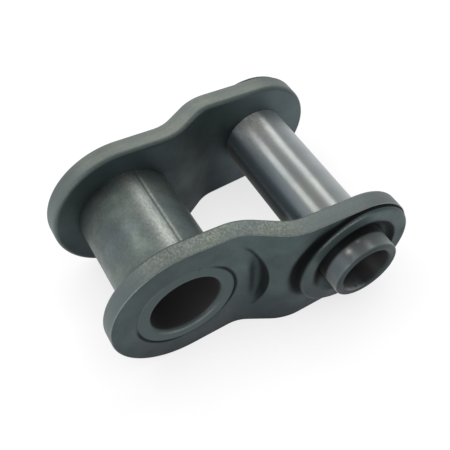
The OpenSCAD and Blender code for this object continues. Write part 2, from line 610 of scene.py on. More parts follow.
    def disc_masks(
        self, radius: Array, turn: Array, cone: int, rim: int, foot: int
    ) -> dict[Mask, Array]:
        """Painted shade in the countersink and round the disc, and a painted highlight along the upper part
        of its rim.

        Args:
            radius: rows by columns, about the pin.
            turn: angle of each column in degrees, from the crank's side upwards.
            cone: number of rows in the countersink.
            rim: first row of the disc's rounded rim.
            foot: first row below that rim.

        Returns:
            The masks of painted highlight and painted shade.
        """
        near = lobe(turn, 42, 58, 24)
        share = np.linspace(0, 1, cone)[:, None]
        out = radius[:cone] - self.sizes.pin_r
        lip = smooth_step((out - 0.5) / 0.35) * (1 - smooth_step((out - 1.3) / 0.15))
        round_share = np.linspace(0, 1, foot - rim + 1)[1:, None]
        foot_line = 0.8 * np.exp(-np.maximum(radius - self.sizes.disc_r, 0) / 0.1)
        foot_line = foot_line * (1 - 0.75 * lobe(turn, 185, 55, 25))
        # Painted shade in the groove and along the disc's foot
        grime = np.maximum(self.groove_shade(radius, turn), foot_line)
        if self.side is Side.REAR:
            grime = grime * (1 - lobe(turn, 95, 62, 20))
        away = 0.12 + 0.85 * lip * lobe(turn, 165, 35, 30)
        # Painted shade in the countersink, on the disc's face and round its rim
        grime[:cone] = near * (1 - 0.5 * share**3) + (1 - near) * away
        grime[cone:rim] = 0.2 * lobe(turn, -20, 22, 25)
        grime[rim:foot] = (0.2 + 0.75 * lobe(turn, 12, 35, 40)) * smooth_step((round_share - 0.2) / 0.8)
        # Painted highlight along the upper part of the disc's rim
        wear_and_highlight = np.zeros(radius.shape)
        wear_and_highlight[rim:foot] = np.sin(math.pi * round_share) ** 2 * lobe(turn, 68, 12, 25)
        return {Mask.EDGE: wear_and_highlight, Mask.PAINTED_SHADE: grime}

    def groove_shade(self, radius: Array, turn: Array) -> Array:
        """Painted shade in the groove beside the disc.

        It is widest towards the crank and above it, and narrows by a cubic of the angle both ways.

        Args:
            radius: rows by columns, about the pin.
            turn: one per column in degrees, from the crank's side upwards.

        Returns:
            Mask from 0 to 1, fading by a cubic over the outer part of its width.
        """
        upper = 0.9 * smooth_step((turn - 28) / 42) + 0.3 * smooth_step((turn - 100) / 25)
        width = 1.5 - upper - 0.95 * smooth_step((-turn - 6) / 38)
        faint = 1 - smooth_step((-turn - 20) / 22)
        return faint * smooth_step((width - (radius - self.sizes.disc_r)) / (0.75 * width))

    def pin_inner(self, half: HalfOutline) -> Patch:
        """Inner face round the pin hole: rows out to the pocket's wall, up it, and to the border."""
        size = self.sizes
        angle, border_r = half.border(self.inner_round)
        wall_r = self.pocket_wall(angle, border_r, size.pin_r)
        start_r = np.maximum(wall_r - self.inner_wall_w, size.pin_r + 0.3 * (wall_r - size.pin_r))
        steps = [size.pin_r + (start_r - size.pin_r) * t for t in np.linspace(0, 1, 10)]
        steps += [start_r + (wall_r - start_r) * t for t in between(0, 1, 18)]
        steps += [wall_r + (border_r - wall_r) * t for t in between(0, 1, 7)]
        x, z = self.place(size.pitch, -1, self.rows(border_r, steps), angle)
        # Painted shade and painted pale light on the inner face
        masks = {Mask.PAINTED_SHADE: self.inner_shade(x), Mask.TINT: self.painted_pale_light(x, z)}
        return Patch(np.stack([x, self.inner(x, z), z], axis=2), True, masks)

    def painted_pale_light(self, x: Array, z: Array) -> Array:
        """Painted pale light on the inner face: a bell curve over the bushing's top, a cubic rise towards the
        pin.
        """
        over_bushing = 0.8 * np.exp(-(((x - 1) / 4.5) ** 2)) * smooth_step((z - 3) / 3)
        return over_bushing + 0.7 * smooth_step((x - 13) / 6)

    def inner_shade(self, x: Array) -> Array:
        """Painted shade on the inner face: cubics raise it past the bushing, before the pin and at the end.
        """
        ramp = smooth_step((x - 5) / 4) * smooth_step((17 - x) / 5)
        return 0.03 + 0.27 * ramp + 0.17 * smooth_step((-2 - x) / 4)

    def rim(self, half: HalfOutline, centre: float, way: int) -> Patch:
        """Edge of the plate: a small quarter circle, the sheared wall, and a larger quarter circle.

        Args:
            half: outline that the section is carried along.
            centre: place of the hole's axis.
            way: +1 where the other hole lies at greater x, and otherwise -1.

        Returns:
            The edge from the outer to the inner face's border.
        """
        points, normals = half.rim()
        turn = np.linspace(0, QUARTER, 8)
        share = np.linspace(0, 1, 10)[1:-1, None]
        inset = np.concatenate([
            self.outer_round * (1 - np.sin(turn)),
            np.zeros(len(share)),
            self.inner_round * (1 - np.sin(turn[::-1])),
        ])[:, None]
        x = centre + way * (points[:, 0] - inset * normals[:, 0])
        z = points[:, 1] - inset * normals[:, 1]
        rows = len(turn)
        top = self.outer(x, z)
        low = self.inner(x, z)
        y = np.empty_like(x)
        y[:rows] = top[:rows] - (self.outer_round * (1 - np.cos(turn)))[:, None]
        y[-rows:] = low[-rows:] + (self.inner_round * (1 - np.cos(turn[::-1])))[:, None]
        y[rows:-rows] = y[rows - 1] + (y[-rows] - y[rows - 1]) * share
        middle = len(share)
        rise = smooth_step(turn / QUARTER)
        sheared = np.concatenate([rise, np.ones(middle), rise[::-1] ** 2])[:, None]
        wear_and_highlight = np.concatenate([np.sin(2 * turn), np.zeros(middle), 0.1 * np.sin(2 * turn)])[:, None]
        masks = {Mask.RIM: sheared, Mask.EDGE: wear_and_highlight, Mask.DEPTH: (top - y) / self.sizes.plate_t}
        return Patch(np.stack([x, y, z], axis=2), False, masks | self.rim_masks(x, sheared))

    def rim_masks(self, x: Array, sheared: Array) -> dict[Mask, Array]:
        """Grain, painted bluish reflection towards the ends and darkening towards the pin end along the edge,
        rising and falling by cubics of the place.

        Args:
            x: places along the link, rows by columns.
            sheared: share of the bare sheared wall, by row.

        Returns:
            The three masks.
        """
        if self.side is Side.FRONT:
            grain = 0.35 + 0.65 * smooth_step((x + 6) / 5) * smooth_step((14 - x) / 5)
            far_reflection = 0.7 * smooth_step((x - 10) / 8)
        else:
            grain = np.full(x.shape, 0.2)
            far_reflection = 0.5 * smooth_step((x - 19) / 6)
        # Painted bluish reflection towards the ends of the edge
        tint = 1 - smooth_step((x + 9.5) / 9) * (1 - far_reflection)
        # Darker towards the pin end
        far_darkening = 0.09 * smooth_step((x - 20) / 4)
        return {Mask.GRAIN: grain, Mask.TINT: tint * sheared, Mask.PAINTED_SHADE: far_darkening * sheared}

    def build(self) -> bpy.types.Object:
        """Makes both halves' faces, holes and edges and welds them to one closed plate."""
        size = self.sizes
        near = HalfOutline(size.bush_end_r, size.pitch / 2, size.taper_sin)
        far = HalfOutline(size.pin_end_r, size.pitch / 2, -size.taper_sin)
        faces = [self.bushing_outer(near), self.bushing_inner(near), self.pin_outer(far), self.pin_inner(far)]
        # The holes' walls take the bores' painted shade
        holes = [
            Patch(np.stack([outer.points[0], inner.points[0]]), True, {Mask.BORE_SHADE: np.ones((2, 1))})
            for outer, inner in (faces[:2], faces[2:])
        ]
        edges = [self.rim(near, 0, 1), self.rim(far, size.pitch, -1)]
        return weld_and_make(f"{self.node}_steel", faces + holes + edges, self.side is Side.FRONT)

    def dress(self, finish: "SteelFinish") -> bpy.types.Object:
        """Builds the plate, gives it its finish and puts it in the node's place."""
        return finish.put_on(self.build(), self.node)


@dataclass
class TubeEnd:
    """Section of a tube's +Y end, from its outer wall over the end to its bore."""

    radius: Array
    height: Array
    # The next field is the bore's painted shade over the mouth's rounding, the last one painted shade on the
    # section
    inside: Array
    ended: Array
    grime: Array

    def around(self, own: Array, wall: Array, bore: Array) -> Array:
        """A mask of the whole section: wall, this end, bore and the other end, closed."""
        whole = np.concatenate([wall, own, bore, own[::-1]])
        return np.append(whole, whole[0])[:, None]


@dataclass(frozen=True)
class Skin:
    """Surface of a tube: radius and height, rows by columns, and the angle of each column."""

    radius: Array
    height: Array
    angle: Array

    @property
    def turn(self) -> Array:
        """Angles in degrees from the top towards +X, from -180 to 180."""
        return (np.degrees(self.angle) + 180) % 360 - 180

    @property
    def closed(self) -> "Skin":
        """The same surface with its first row once more at the end."""
        radius, height = (np.concatenate([grid, grid[:1]]) for grid in (self.radius, self.height))
        return Skin(radius, height, self.angle)

    def points(self, axis_x: float) -> Array:
        """Points of the surface about an axis along Y."""
        across = self.radius * np.sin(self.angle)
        return np.stack([axis_x + across, self.height, self.radius * np.cos(self.angle)], axis=2)


@dataclass
class Tube:
    """Round tube about an axis along Y, alike at both ends."""

    node: str
    sizes: LinkSizes
    columns: int = 280
    wall_rows: int = 48
    bore_rows: int = 24

    def axis_x(self) -> float:
        """Place of the tube's axis along the link."""
        return 0.0

    def angles(self) -> Array:
        """Angles round the tube from the top towards +X, in even steps."""
        return np.linspace(0, 2 * math.pi, self.columns, endpoint=False)

    def end(self) -> TubeEnd:
        """Section of the +Y end."""
        raise NotImplementedError

    def marked(self, radius: Array, height: Array, angle: Array) -> Skin:
        """Section carried round the axis, with the marks of the tube's making.

        Args:
            radius: one per row of the section.
            height: one per row of the section.
            angle: one per column.

        Returns:
            The tube's surface.
        """
        around = np.ones_like(angle)
        return Skin(radius[:, None] * around, height[:, None] * around, angle)

    def polish_and_highlight(self, skin: Skin) -> Array:
        """Share of polish and painted highlight, rows by columns."""
        raise NotImplementedError

    def painted_shade_share(self, skin: Skin) -> Array:
        """Share of painted shade besides that of the section, rows by columns."""
        raise NotImplementedError

    def painted_blue_reflection(self, skin: Skin) -> Array:
        """Share of painted bluish reflection, rows by columns."""
        return np.zeros(skin.radius.shape)

    def bore_light(self, skin: Skin) -> Array:
        """Share of painted light that lifts the bore's painted shade, rows by columns."""
        return np.zeros(skin.radius.shape)

    def build(self) -> bpy.types.Object:
        """Carries the closed section round the axis: wall, end, bore and the other end."""
        end = self.end()
        wall = between(-end.height[0], end.height[0], self.wall_rows)[:-1]
        bore = between(end.height[-1], -end.height[-1], self.bore_rows)[:-1]
        whole_wall = np.full(len(wall), end.radius[0])
        whole_bore = np.full(len(bore), end.radius[-1])
        radius = np.concatenate([whole_wall, end.radius, whole_bore, end.radius[::-1]])
        height = np.concatenate([wall, end.height, bore, -end.height[::-1]])
        skin = self.marked(radius, height, self.angles()).closed
        bare = np.zeros(len(wall))
        full = np.ones(len(bore))
        # Painted shade in the bores less painted light in their mouths, painted shade beside the plates,
        # polish with painted highlights, painted bluish reflections
        masks = {
            Mask.BORE_SHADE: end.around(end.inside, bare, full) * (1 - self.bore_light(skin)),
            Mask.END: end.around(end.ended, bare, full),
            Mask.PAINTED_SHADE: np.maximum(end.around(end.grime, bare, 0 * full), self.painted_shade_share(skin)),
            Mask.EDGE: self.polish_and_highlight(skin),
            Mask.TINT: self.painted_blue_reflection(skin),
        }
        return weld_and_make(f"{self.node}_steel", [Patch(skin.points(self.axis_x()), True, masks)])

    def dress(self, finish: "SteelFinish") -> bpy.types.Object:
        """Builds the tube, gives it its finish and puts it in the node's place."""
        return finish.put_on(self.build(), self.node)


@dataclass
class CurledBushing(Tube):
    """Tube curled from strip, with rounded ends and a closing seam along its top."""

    seam_w: float = 0.1
    seam_d: float = 0.13
    seat_edge: float = 0.1

    def from_seam(self, angle: Array) -> Array:
        """Distance along the outside from the seam."""
        away = (angle - self.sizes.seam_angle + math.pi) % (2 * math.pi) - math.pi
        return away * self.sizes.bush_r

    def angles(self) -> Array:
        """Even angles, closer together at the seam."""
        even = super().angles()
        reach = 6 * self.seam_w
        fine = self.sizes.seam_angle + np.linspace(-reach, reach, 33) / self.sizes.bush_r
        kept = even[np.abs(self.from_seam(even)) > reach * 1.05]
        return np.sort(np.concatenate([kept, fine]))

    def polish_and_highlight(self, skin: Skin) -> Array:
        """Smoother strip with a painted highlight beside the seam, and painted highlights low in the bore's
        mouths.

        The strip is a bell curve across its width, stronger towards the front, with a narrow painted
        highlight line on the seam's other side; the mouths get a painted highlight in a bell curve over their
        rounding.

        Args:
            skin: surface of the tube.

        Returns:
            Share of polish and painted highlight, rows by columns.
        """
        size = self.sizes
        mouth_r = size.bush_bore_r + size.bore_edge
        away = self.from_seam(skin.angle)
        brighter_front = 0.7 + 0.3 * smooth_step((1 - skin.height) / 6)
        highlight_strip = brighter_front * np.exp(-((away + 1.15) ** 2))
        seam_highlight = 0.55 * np.exp(-(((away - 0.22) / 0.12) ** 2))
        outside = (skin.radius > mouth_r) & (np.abs(skin.height) < size.narrow_in)
        share = (mouth_r - skin.radius) / size.bore_edge
        mouth_light = 0.45 * np.exp(-(((share - 0.3) / 0.25) ** 2)) * lobe(90 - skin.turn, -85, 25, 40)
        at_mouth = np.abs(skin.height) > size.narrow_out - size.bore_edge
        return (highlight_strip + seam_highlight) * outside + mouth_light * at_mouth

    def painted_shade_share(self, skin: Skin) -> Array:
        """Painted shade that fades exponentially from the plates along the outside, and lies in the seats'
        edges.

        Args:
            skin: surface of the tube.

        Returns:
            Share of painted shade, rows by columns.
        """
        size = self.sizes
        turn = 90 - skin.turn
        outside = skin.radius > size.bush_r - 2 * self.seat_edge
        from_plate = np.maximum(size.narrow_in - np.abs(skin.height), 0)
        in_plate = np.abs(skin.height) > size.narrow_in
        # Painted shade in the seats' gaps, and beside the plates, deeper towards the rear
        seat = seat_shade(turn) * smooth_step((skin.radius - size.bush_r + 0.2) / 0.15)
        rear = skin.height > 0
        amount = np.where(rear, 0.28 + 0.55 * lobe(turn, 170, 48, 34), 0.3)
        reach = np.where(rear, 3.0, 1.3)
        return outside * np.where(in_plate, 0.9 * seat, amount * np.exp(-from_plate / reach))

    def end(self) -> TubeEnd:
        """Quarter circle at the outer corner, flat end, quarter circle at the bore's mouth."""
        size = self.sizes
        turn = np.linspace(0, QUARTER, 8)
        edge_r = size.bush_r - self.seat_edge
        edge_y = size.narrow_out - self.seat_edge
        mouth_r = size.bush_bore_r + size.bore_edge
        flat = between(edge_r, mouth_r, 9)
        return TubeEnd(
            radius=np.concatenate([
                edge_r + self.seat_edge * np.cos(turn),
                flat,
                mouth_r - size.bore_edge * np.sin(turn[1:]),
            ]),
            height=np.concatenate([
                edge_y + self.seat_edge * np.sin(turn),
                np.full(len(flat), size.narrow_out),
                size.narrow_out - size.bore_edge * (1 - np.cos(turn[1:])),
            ]),
            inside=np.concatenate([np.zeros(len(turn) + len(flat)), (turn[1:] / QUARTER) ** 3]),
            ended=np.concatenate([turn / QUARTER, np.ones(len(flat) + len(turn) - 1)]),
            grime=np.zeros(2 * len(turn) + len(flat) - 1),
        )

    def marked(self, radius: Array, height: Array, angle: Array) -> Skin:
        """Sinks the outside at the seam by a bell curve of the distance, and the ends by a third of it.

        Args:
            radius: one per row of the section.
            height: one per row of the section.
            angle: one per column.

        Returns:
            The bushing's surface.
        """
        size = self.sizes
        bell = self.seam_d * np.exp(-((self.from_seam(angle) / self.seam_w) ** 2))
        outside = smooth_step((radius - size.bush_r) / self.seat_edge + 1)[:, None]
        at_end = smooth_step((np.abs(height) - size.narrow_out) / self.seat_edge + 1)
        at_end = (at_end * np.sign(height))[:, None]
        return Skin(radius[:, None] - outside * bell, height[:, None] - at_end * bell / 3, angle)


@dataclass(frozen=True)
class GlintSpot:
    """Painted glint on the pin: its angle in degrees from the top, place along Y, width and strength."""

    middle: float
    place: float
    width: float
    strength: float

    def share(self, skin: Skin, pin_r: float) -> Array:
        """Bell curve of the distance from the glint's middle."""
        along = np.radians(skin.turn - self.middle) * pin_r
        away = np.hypot(along, skin.height - self.place)
        return self.strength * np.exp(-((away / self.width) ** 2))


@dataclass
class HollowPin(Tube):
    """Ground tube with straight, rounded ends that stand out of the plates."""

    # Painted glints on the front stub
    glint_spots: tuple[GlintSpot, ...] = (GlintSpot(-32, -12.95, 0.3, 2.0), GlintSpot(-11, -12.62, 0.22, 0.7))

    def axis_x(self) -> float:
        """The pin's axis lies a pitch from the bushing's."""
        return self.sizes.pitch

    def polish_and_highlight(self, skin: Skin) -> Array:
        """Painted glints on the front stub, painted light low in the mouths, and painted highlights near the
        rear plate.

        The painted highlight rises by a cubic along the pin, with two painted streaks that fall exponentially
        from the rear plate; the painted light in the mouths is half a bell curve into the bore.

        Args:
            skin: surface of the tube.

        Returns:
            Share of painted highlight, rows by columns.
        """
        size = self.sizes
        turn = skin.turn
        glinted = sum(spot.share(skin, size.pin_r) for spot in self.glint_spots)
        inside = np.abs(skin.height) < size.wide_in
        rear_highlight = 0.3 * smooth_step((skin.height - 1) / 7) * lobe(turn, -22, 20, 14)
        from_plate = np.maximum(size.wide_in - skin.height, 0)
        highlight_streaks = 0.65 * (lobe(turn, -42, 7, 9) + lobe(turn, -12, 12, 9)) * np.exp(-from_plate / 2.2)
        mouth_light = 0.3 * lobe(turn, -158, 16, 22) * np.exp(-((self.from_end(skin) / 1.7) ** 2))
        outside = skin.radius > size.pin_r - 0.05
        in_bore = skin.radius < size.pin_bore_r + 0.2
        return np.where(outside, glinted + inside * (rear_highlight + highlight_streaks), mouth_light * in_bore)

    def from_end(self, skin: Skin) -> Array:
        """Distance along the pin from its nearer end."""
        return np.maximum(self.sizes.pin_half - np.abs(skin.height), 0)

    def painted_shade_share(self, skin: Skin) -> Array:
        """Painted shade on the side that faces the bushing, at the rear plate and on the front end's lower
        left, fading by cubics.

        Args:
            skin: surface of the tube.

        Returns:
            Share of painted shade, rows by columns.
        """
        size = self.sizes
        turn = skin.turn
        outside = (skin.radius > size.pin_r - 0.05) & (np.abs(skin.height) < size.wide_in)
        along = 0.85 * lobe(turn, -102, 20, 16) * smooth_step((skin.height + 6.5) / 3)
        root = 0.55 * lobe(turn, -68, 26, 20) * np.exp(-np.maximum(size.wide_in - skin.height, 0) / 0.9)
        at_end = skin.height < 0.1 - size.pin_half
        return outside * np.maximum(along, root) + at_end * 0.25 * lobe(turn, -112, 22, 25)

    def painted_blue_reflection(self, skin: Skin) -> Array:
        """Painted bluish reflection in bands along the pin, by cubics of the angle.

        Args:
            skin: surface of the tube.

        Returns:
            Share of painted reflection, rows by columns.
        """
        turn = skin.turn
        bands = lobe(turn, -62, 12, 18) + 0.4 * lobe(turn, 26, 10, 14) + 0.8 * lobe(turn, -155, 25, 25)
        return bands * np.where(np.abs(skin.height) < self.sizes.wide_in, 1, 0.6)

    def bore_light(self, skin: Skin) -> Array:
        """Painted light low in the bore's mouth, half a bell curve into the bore."""
        return 0.98 * lobe(skin.turn, -158, 20, 22) * np.exp(-((self.from_end(skin) / 1.8) ** 2))

    def end(self) -> TubeEnd:
        """Straight stub, quarter circle, flat end, small quarter circle at the bore's mouth."""
        size = self.sizes
        turn = np.linspace(0, QUARTER, 9)
        grip = size.disc_face - size.sink_d
        edge_r = size.pin_r - size.pin_round
        edge_y = size.pin_half - size.pin_round
        stub_y = np.linspace(grip, edge_y, 19)[:-1]
        mouth_r = size.pin_bore_r + size.mouth_edge
        flat = between(edge_r, mouth_r, 4)
        return TubeEnd(
            radius=np.concatenate([
                np.full(len(stub_y), size.pin_r),
                edge_r + size.pin_round * np.cos(turn),
                flat,
                mouth_r - size.mouth_edge * np.sin(turn[1:]),
            ]),
            height=np.concatenate([
                stub_y,
                edge_y + size.pin_round * np.sin(turn),
                np.full(len(flat), size.pin_half),
                size.pin_half - size.mouth_edge * (1 - np.cos(turn[1:])),
            ]),
            inside=np.concatenate([
                np.zeros(len(stub_y) + len(turn) + len(flat)),
                (turn[1:] / QUARTER) ** 3,
            ]),
            ended=np.concatenate([
                0.4 * smooth_step((stub_y - grip) / 0.5),
                0.4 + 0.6 * np.sin(turn),
                np.ones(len(flat) + len(turn) - 1),
            ]),
            # Painted shade at the foot of the stub, where it meets the countersink
            grime=np.concatenate([
                1 - smooth_step((stub_y - size.disc_face - 0.12) / 0.4),
                np.zeros(2 * len(turn) + len(flat) - 1),
            ]),
        )


class NodeDesk:
    """Adds and links nodes in one node tree."""

    def __init__(self, tree: bpy.types.NodeTree) -> None:
        """Keeps the tree and empties it."""
        self.tree = tree
        tree.nodes.clear()

    def add(self, kind: str, inputs: dict | None = None, **settings: object) -> bpy.types.Node:
        """Adds a node.

        Args:
            kind: type name of the node.
            inputs: value or linked socket for each named or numbered input.
            settings: values of the node's own properties.

        Returns:
            The node.
        """
        node = self.tree.nodes.new(kind)
        for name, value in settings.items():
            setattr(node, name, value)
        for name, value in (inputs or {}).items():
            if isinstance(value, Socket):
                self.tree.links.new(value, node.inputs[name])
            else:
                node.inputs[name].default_value = value
        return node

    def math(self, operation: str, first: object, second: object, third: float = 0.0) -> Socket:
        """Result of a Math node on two values or sockets, and a third where the operation has one."""
        values = {0: first, 1: second, 2: third}
        return self.add("ShaderNodeMath", values, operation=operation).outputs[0]

    def mix(self, share: object, first: object, second: object, blend: str = "MIX") -> Socket:
        """Colour between two colours or sockets."""
        values = {"Factor": share, 6: first, 7: second}
        return self.add("ShaderNodeMix", values, data_type="RGBA", blend_type=blend).outputs[2]

    def spread(
        self, value: object, low: float, high: float, to_low: float = 0.0, to_high: float = 1.0
    ) -> Socket:
        """Value carried from one range to another, and held at its ends."""
        values = {0: value, 1: low, 2: high, 3: to_low, 4: to_high}
        return self.add("ShaderNodeMapRange", values).outputs[0]

    def noise(self, where: object, scale: object, detail: float, roughness: float) -> Socket:
        """Value of a noise texture."""
        values = {"Vector": where, "Scale": scale, "Detail": detail, "Roughness": roughness}
        return self.add("ShaderNodeTexNoise", values).outputs[0]


def new_group(name: str, inputs: dict[str, str], outputs: dict[str, str]) -> bpy.types.NodeTree:
    """Makes an empty shader node group with named sockets.

    Args:
        name: name of the group.
        inputs: socket type for each input.
        outputs: socket type for each output.

    Returns:
        The group's node tree.
    """
    tree = bpy.data.node_groups.new(name, "ShaderNodeTree")
    for way, sockets in (("INPUT", inputs), ("OUTPUT", outputs)):
        for socket, kind in sockets.items():
            tree.interface.new_socket(socket, in_out=way, socket_type=f"NodeSocket{kind}")
    return tree


def cloud_group() -> bpy.types.NodeTree:
    """Cloudy steel: light and dark patches in soft noise, larger stains, and painted shade that darkens the
    lower part.
    """
    colours = {"Light": "Color", "Dark": "Color", "Stain": "Color"}
    values = {"Scale": "Float", "Stained": "Float", "Low": "Float"}
    tree = new_group("steel_clouds", {**colours, **values}, {"Color": "Color", "Cloud": "Float"})
    desk = NodeDesk(tree)
    given = desk.add("NodeGroupInput")
    where = desk.add("ShaderNodeTexCoord").outputs["Object"]
    cloud = desk.spread(desk.noise(where, given.outputs["Scale"], 6.0, 0.62), 0.34, 0.66)
    wide = desk.math("MULTIPLY", given.outputs["Scale"], 0.4)
    shifted = desk.add("ShaderNodeVectorMath", {0: where, 1: (0.31, 0.17, 0.23)}).outputs[0]
    stain_and_shade = desk.spread(desk.noise(shifted, wide, 3.0, 0.5), 0.45, 0.62)
    stain_and_shade = desk.math("MULTIPLY", stain_and_shade, given.outputs["Stained"])
    height = desk.add("ShaderNodeSeparateXYZ", {0: where}).outputs["Z"]
    # Painted shade, darker towards the bottom
    low = desk.math("MULTIPLY", desk.spread(height, 0.002, -0.0078), given.outputs["Low"])
    stain_and_shade = desk.math("MAXIMUM", stain_and_shade, low)
    plain = desk.mix(cloud, given.outputs["Dark"], given.outputs["Light"])
    desk.add("NodeGroupOutput", {"Color": desk.mix(stain_and_shade, plain, given.outputs["Stain"]), "Cloud": cloud})
    return tree


def grain_group() -> bpy.types.NodeTree:
    """Fine grain: a height for bump and sharp specks, at a stated scale."""
    tree = new_group("steel_grain", {"Scale": "Float"}, {"Height": "Float", "Speck": "Float"})
    desk = NodeDesk(tree)
    given = desk.add("NodeGroupInput")
    where = desk.add("ShaderNodeTexCoord").outputs["Object"]
    height = desk.noise(where, given.outputs["Scale"], 3.0, 0.6)
    drawn = desk.add("ShaderNodeVectorMath", {0: where, 1: (1.0, 0.5, 1.0)}, operation="MULTIPLY").outputs[0]
    fine = desk.noise(drawn, desk.math("MULTIPLY", given.outputs["Scale"], 0.65), 2.0, 0.7)
    speck = desk.spread(fine, 0.4, 0.64)
    desk.add("NodeGroupOutput", {"Height": height, "Speck": speck})
    return tree


@dataclass(frozen=True)
class Groups:
    """The shader groups that the finishes share."""

    clouds: bpy.types.NodeTree
    grain: bpy.types.NodeTree


@dataclass(frozen=True)
class Sources:
    """What a finish starts from: its nodes, the masks and the outputs of the shared groups."""

    desk: NodeDesk
    masks: dict[Mask, Socket]
    clouds: bpy.types.NodeOutputs
    grain: bpy.types.NodeOutputs


@dataclass(frozen=True)
class SteelFinish:
    """A steel surface: cloudy colour, grain, a bright sheared rim, worn edges, painted highlights,
    reflections and shade, and bores darkened by painted shade.
    """

    slot: str
    groups: Groups
    light: Colour
    dark: Colour
    # Colour of stains, and of painted shade towards the bottom
    stain_and_shade: Colour
    # Colour of the rims' cloudy tint, and of painted light and reflections
    tint: Colour
    # Colour of worn edges, and of painted highlights and glints
    wear_and_highlight: Colour
    # Colour of the bores' painted shade
    bore: Colour
    end: Colour
    cloud_scale: float
    stained: float
    # Share of painted shade towards the bottom
    low: float
    smoothest: float
    roughest: float
    grain_scale: float
    grain_depth: float
    speckle: float
    metallic: float
    wear_and_highlight_rough: float
    streaked: float = 0.0
    rim: Colour = (0.29, 0.32, 0.28)
    # Colour of painted shade
    grime: Colour = (0.0098, 0.0105, 0.0125)
    glint: float = 1.5
    # Share of painted light
    painted_light_share: float = 0.7
    shade_share: float = 0.95
    rim_rough: float = 0.55
    end_rough: float = 0.55
    shade_rough: float = 0.75
    rim_relief: float = 1.2

    def material(self) -> bpy.types.Material:
        """The slot's material, built from the shared groups and the pieces' masks on its first use.

        Returns:
            The material.
        """
        material = bpy.data.materials.get(self.slot) or bpy.data.materials.new(self.slot)
        if material.get("dressed"):
            return material
        material["dressed"] = True
        material.use_nodes = True
        desk = NodeDesk(material.node_tree)
        given = self.sources(desk)
        shader = desk.add("ShaderNodeBsdfPrincipled", {
            "Base Color": self.colour(given),
            "Metallic": self.metallic,
            "Roughness": self.roughness(given),
            "Normal": self.relief(given),
        })
        if self.streaked:
            around = desk.add("ShaderNodeTangent", direction_type="RADIAL", axis="Y").outputs[0]
            desk.tree.links.new(around, shader.inputs["Tangent"])
            shader.inputs["Anisotropic"].default_value = self.streaked
            shader.inputs["Anisotropic Rotation"].default_value = 0.25
        desk.add("ShaderNodeOutputMaterial", {"Surface": shader.outputs["BSDF"]})
        return material

    def sources(self, desk: NodeDesk) -> Sources:
        """Adds the masks and the shared groups.

        Args:
            desk: the material's nodes.

        Returns:
            What colour, roughness and relief start from.
        """
        masks = {
            mask: desk.add("ShaderNodeAttribute", attribute_name=mask.value).outputs["Fac"]
            for mask in Mask
        }
        values = {
            "Light": (*self.light, 1),
            "Dark": (*self.dark, 1),
            "Stain": (*self.stain_and_shade, 1),
            "Scale": self.cloud_scale,
            "Stained": self.stained,
            "Low": self.low,
        }
        clouds = desk.add("ShaderNodeGroup", values, node_tree=self.groups.clouds)
        grain = desk.add("ShaderNodeGroup", {"Scale": self.grain_scale}, node_tree=self.groups.grain)
        return Sources(desk, masks, clouds.outputs, grain.outputs)

    def rim_colour(self, given: Sources) -> Socket:
        """Sheared rim: specks, a darker band with a torn line beside it, and clouds of tint."""
        desk, depth = given.desk, given.masks[Mask.DEPTH]
        dark = (*(0.5 * part for part in self.rim), 1)
        mean = (*(0.76 * part for part in self.rim), 1)
        specks = desk.mix(given.grain["Speck"], dark, (*self.rim, 1))
        colour = desk.mix(given.masks[Mask.GRAIN], mean, specks)
        colour = desk.mix(desk.spread(depth, 0.3, 0.38, 0.3, 0.0), colour, dark)
        tear = desk.math("COMPARE", depth, 0.36, 0.03)
        colour = desk.mix(desk.math("MULTIPLY", tear, 0.35), colour, dark)
        shift = desk.math("MULTIPLY", given.clouds["Cloud"], 0.5)
        return desk.mix(shift, colour, (*self.tint, 1))

    def colour(self, given: Sources) -> Socket:
        """Cloudy face with glints, and over it rim, painted light, end, wear and painted highlights, the
        bores' painted shade and painted shade by their masks.
        """
        desk, masks, speck = given.desk, given.masks, given.grain["Speck"]
        brighter = (self.glint, self.glint, self.glint, 1)
        glint = desk.math("MULTIPLY", speck, self.speckle)
        colour = desk.mix(glint, given.clouds["Color"], brighter, "MULTIPLY")
        wear_and_highlight_share = desk.math("MULTIPLY", masks[Mask.EDGE], desk.spread(speck, 0.0, 1.0, 0.4, 0.9))
        layers = (
            (masks[Mask.RIM], self.rim_colour(given)),
            (desk.math("MULTIPLY", masks[Mask.TINT], self.painted_light_share), (*self.tint, 1)),
            (masks[Mask.END], (*self.end, 1)),
            (wear_and_highlight_share, (*self.wear_and_highlight, 1)),
            (masks[Mask.BORE_SHADE], (*self.bore, 1)),
            (desk.math("MULTIPLY", masks[Mask.PAINTED_SHADE], self.shade_share), (*self.grime, 1)),
        )
        for share, layer in layers:
            colour = desk.mix(share, colour, layer)
        return colour

    def roughness(self, given: Sources) -> Socket:
        """Roughness by the clouds, and over it that of rims, ends, wear and highlights, and painted shade by
        their masks.
        """
        level = given.desk.spread(given.clouds["Cloud"], 0, 1, self.roughest, self.smoothest)
        layers = (
            (Mask.RIM, self.rim_rough),
            (Mask.END, self.end_rough),
            (Mask.EDGE, self.wear_and_highlight_rough),
            (Mask.PAINTED_SHADE, self.shade_rough),
        )
        for mask, rough in layers:
            values = {0: given.masks[mask], 2: level, 3: rough}
            level = given.desk.add("ShaderNodeMix", values).outputs[0]
        return level

    def relief(self, given: Sources) -> Socket:
        """Normal of the fine grain, which is deeper on a rim."""
        deeper = given.desk.math("MULTIPLY_ADD", given.masks[Mask.RIM], self.rim_relief, 1.0)
        height = given.desk.math("MULTIPLY", given.grain["Height"], deeper)
        values = {"Height": height, "Strength": 1.0, "Distance": self.grain_depth * MM}
        return given.desk.add("ShaderNodeBump", values).outputs["Normal"]

